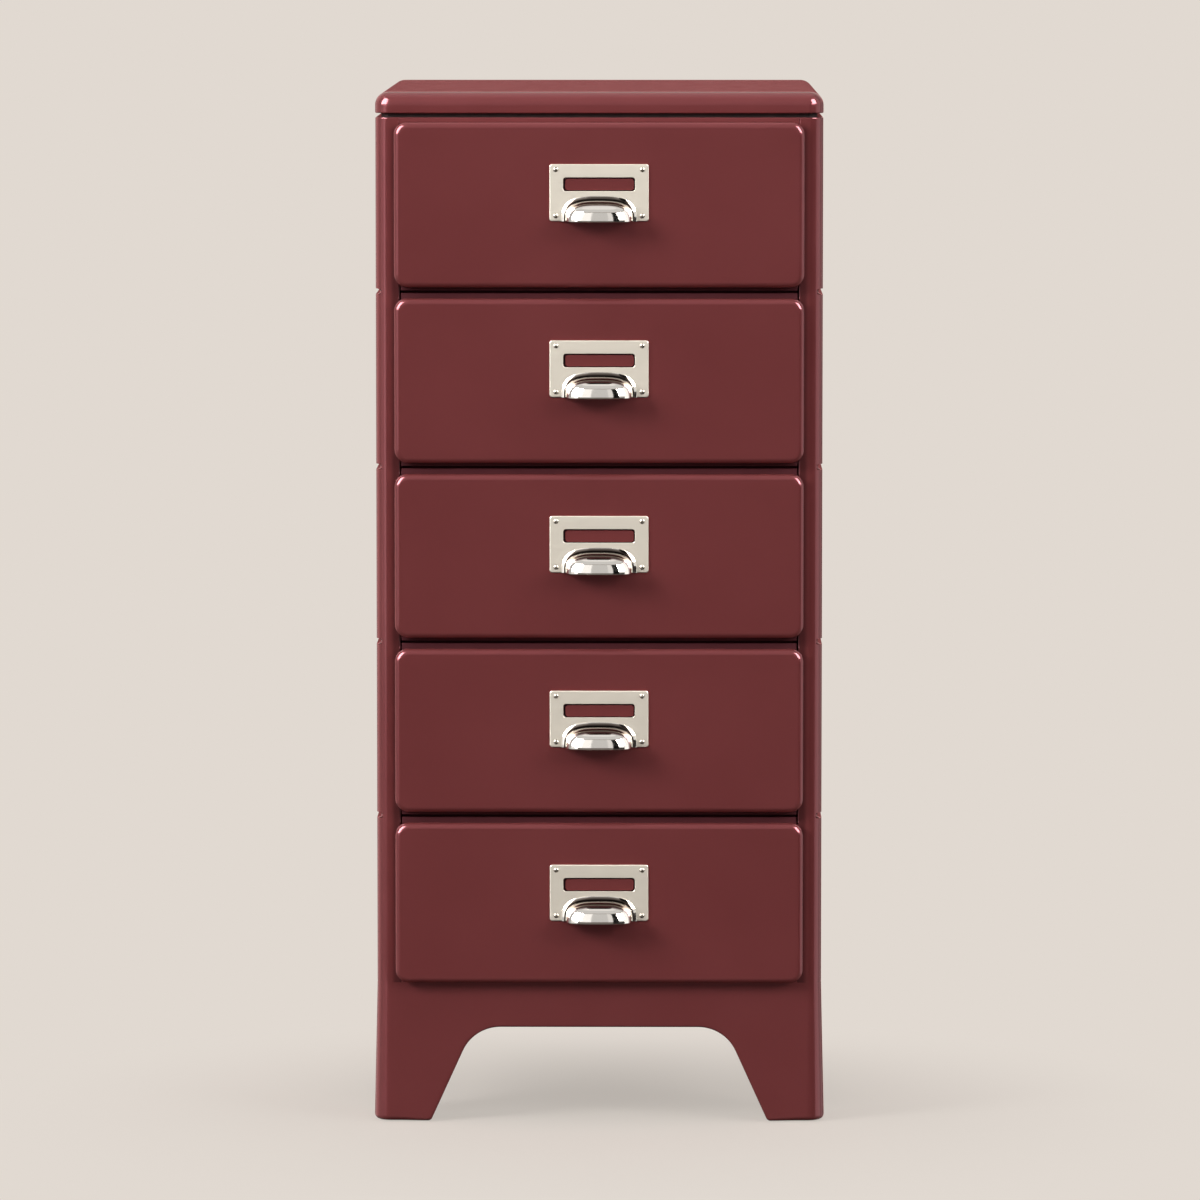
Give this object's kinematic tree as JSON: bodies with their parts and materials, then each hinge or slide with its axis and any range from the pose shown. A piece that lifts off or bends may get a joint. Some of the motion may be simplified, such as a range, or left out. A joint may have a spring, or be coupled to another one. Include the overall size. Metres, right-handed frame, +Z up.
{
  "type": "small metal drawer cabinet",
  "caption": "Narrow upright enamelled steel chest of sliding drawers with plated cup pulls and label plates, raised top cover and pressed leg base.",
  "frame": {"origin": "on the floor under the middle of the whole chest, pulls included", "axes": "+X to the right seen from the front, -Y is the side of the drawer fronts, +Z up"},
  "size_m": [0.3394, 0.4336, 0.7755],
  "materials": {
    "red_enamel": "satin stoved enamel on pressed steel sheet, dark oxide red",
    "nickel_plate": "bright nickel plate on stamped steel, softly brushed on the label plate and mirror bright on the cup",
    "zinc_steel": "zinc plated steel",
    "black_nylon": "moulded nylon"
  },
  "bodies": {
    "cabinet": {"side_panel_left": "red_enamel", "side_panel_right": "red_enamel", "back_panel": "red_enamel", "top_panel": "red_enamel", "top_cover": "red_enamel", "top_rail": "red_enamel", "bottom_panel": "red_enamel", "base_front": "red_enamel", "base_back": "red_enamel", "base_left": "red_enamel", "base_right": "red_enamel", "foot_inserts": "black_nylon", "back_rivets": "red_enamel", "cover_screws": "zinc_steel", "cover_nuts": "zinc_steel", "divider_rail_1": "red_enamel", "divider_rail_2": "red_enamel", "divider_rail_3": "red_enamel", "divider_rail_4": "red_enamel", "runner_left_1": "zinc_steel", "runner_left_2": "zinc_steel", "runner_left_3": "zinc_steel", "runner_left_4": "zinc_steel", "runner_left_5": "zinc_steel", "runner_right_1": "zinc_steel", "runner_right_2": "zinc_steel", "runner_right_3": "zinc_steel", "runner_right_4": "zinc_steel", "runner_right_5": "zinc_steel"},
    "drawer_1": {"drawer_1_front": "red_enamel", "drawer_1_liner": "red_enamel", "drawer_1_tray": "red_enamel", "drawer_1_pull": "nickel_plate", "drawer_1_rivets": "nickel_plate"},
    "drawer_2": {"drawer_2_front": "red_enamel", "drawer_2_liner": "red_enamel", "drawer_2_tray": "red_enamel", "drawer_2_pull": "nickel_plate", "drawer_2_rivets": "nickel_plate"},
    "drawer_3": {"drawer_3_front": "red_enamel", "drawer_3_liner": "red_enamel", "drawer_3_tray": "red_enamel", "drawer_3_pull": "nickel_plate", "drawer_3_rivets": "nickel_plate"},
    "drawer_4": {"drawer_4_front": "red_enamel", "drawer_4_liner": "red_enamel", "drawer_4_tray": "red_enamel", "drawer_4_pull": "nickel_plate", "drawer_4_rivets": "nickel_plate"},
    "drawer_5": {"drawer_5_front": "red_enamel", "drawer_5_liner": "red_enamel", "drawer_5_tray": "red_enamel", "drawer_5_pull": "nickel_plate", "drawer_5_rivets": "nickel_plate"}
  },
  "joints": [
    {"name": "drawer_1_slide", "type": "slide", "parent": "cabinet", "child": "drawer_1", "axis": [0, -1, 0], "range_m": [0, 0.29]},
    {"name": "drawer_2_slide", "type": "slide", "parent": "cabinet", "child": "drawer_2", "axis": [0, -1, 0], "range_m": [0, 0.29]},
    {"name": "drawer_3_slide", "type": "slide", "parent": "cabinet", "child": "drawer_3", "axis": [0, -1, 0], "range_m": [0, 0.29]},
    {"name": "drawer_4_slide", "type": "slide", "parent": "cabinet", "child": "drawer_4", "axis": [0, -1, 0], "range_m": [0, 0.29]},
    {"name": "drawer_5_slide", "type": "slide", "parent": "cabinet", "child": "drawer_5", "axis": [0, -1, 0], "range_m": [0, 0.29]}
  ]
}
